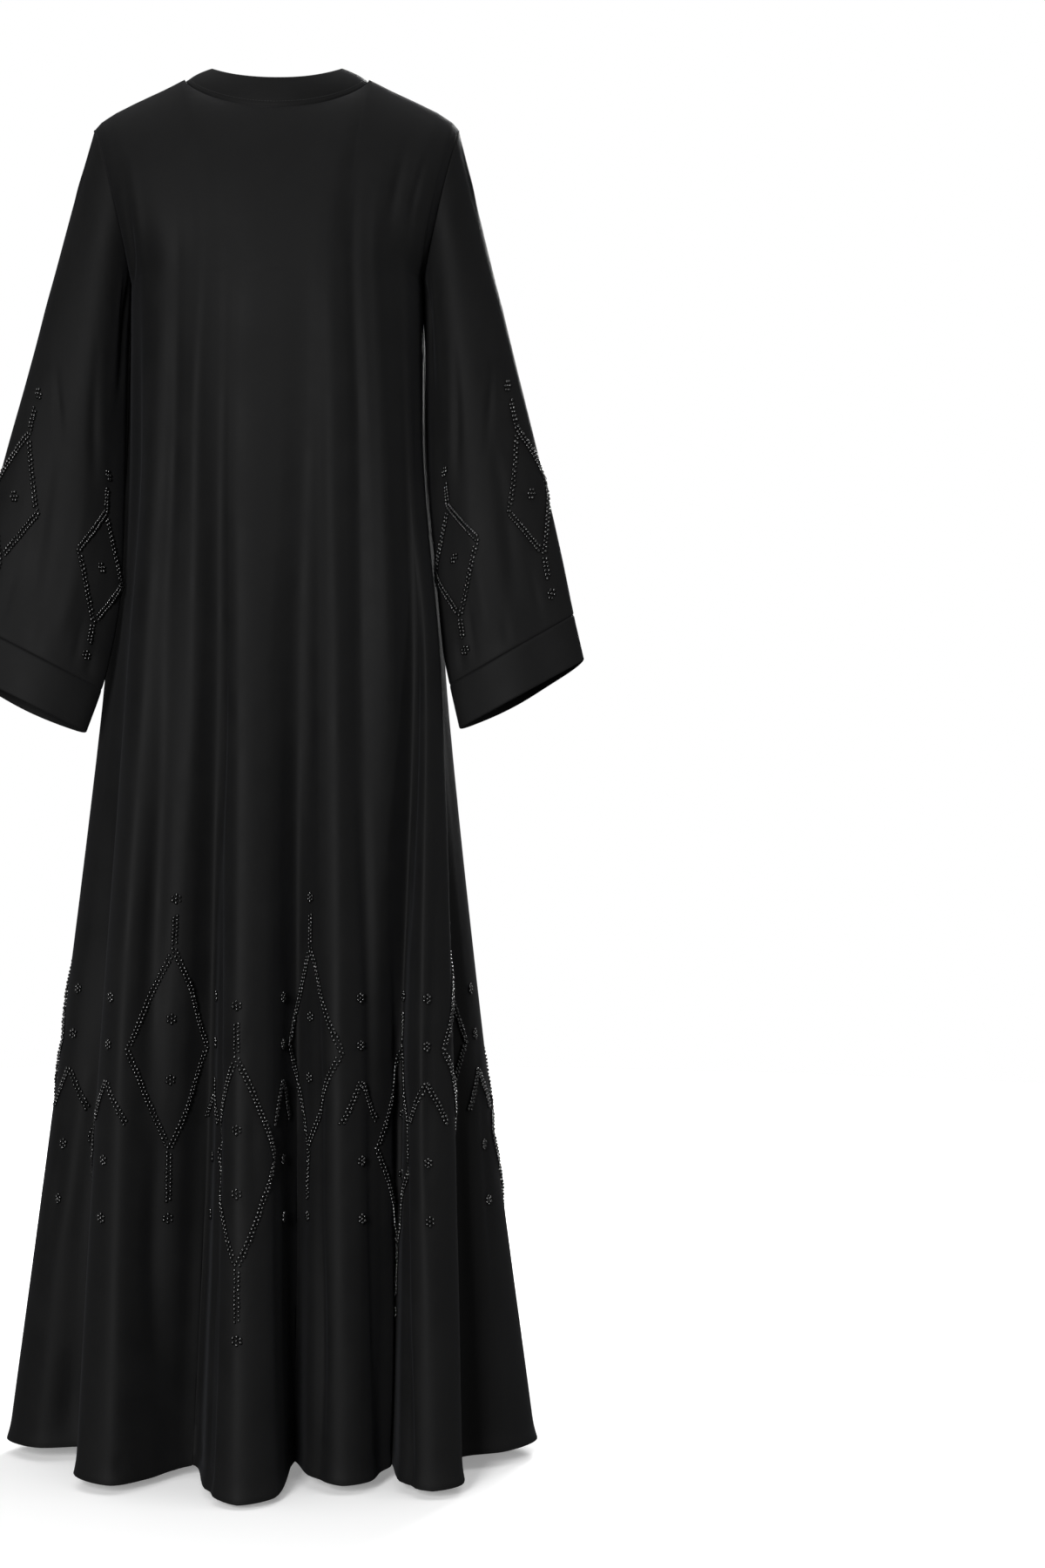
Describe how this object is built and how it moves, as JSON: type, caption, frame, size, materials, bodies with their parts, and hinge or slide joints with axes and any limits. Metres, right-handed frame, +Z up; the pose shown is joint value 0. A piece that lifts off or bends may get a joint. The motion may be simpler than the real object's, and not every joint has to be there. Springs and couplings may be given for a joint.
{
  "type": "abaya cloak",
  "caption": "Full-length loose abaya cloak, hollow as worn, with a flared fluted hem, wide sleeves with plain cuffs, a low neck band, an open front edge to edge and black beaded trim.",
  "frame": {"origin": "midway between the two high points of the shoulders, where the neck seam and the shoulder seams meet, which is where the cloak hangs on its wearer", "axes": "+Z up, +Y the way the wearer faces (the open front), +X the wearer's right; the back of the garment faces -Y"},
  "size_m": [0.6418, 0.423, 1.4242],
  "materials": {
    "black_crepe": "dense matt black crepe with a faint soft sheen on the folds",
    "black_beads": "small round glossy black beads sewn on in double rows"
  },
  "bodies": {
    "root": {"back": "black_crepe", "front_left": "black_crepe", "front_right": "black_crepe", "sleeve_left": "black_crepe", "sleeve_right": "black_crepe", "cuff_left": "black_crepe", "cuff_right": "black_crepe", "neck_band": "black_crepe"}
  },
  "joints": []
}
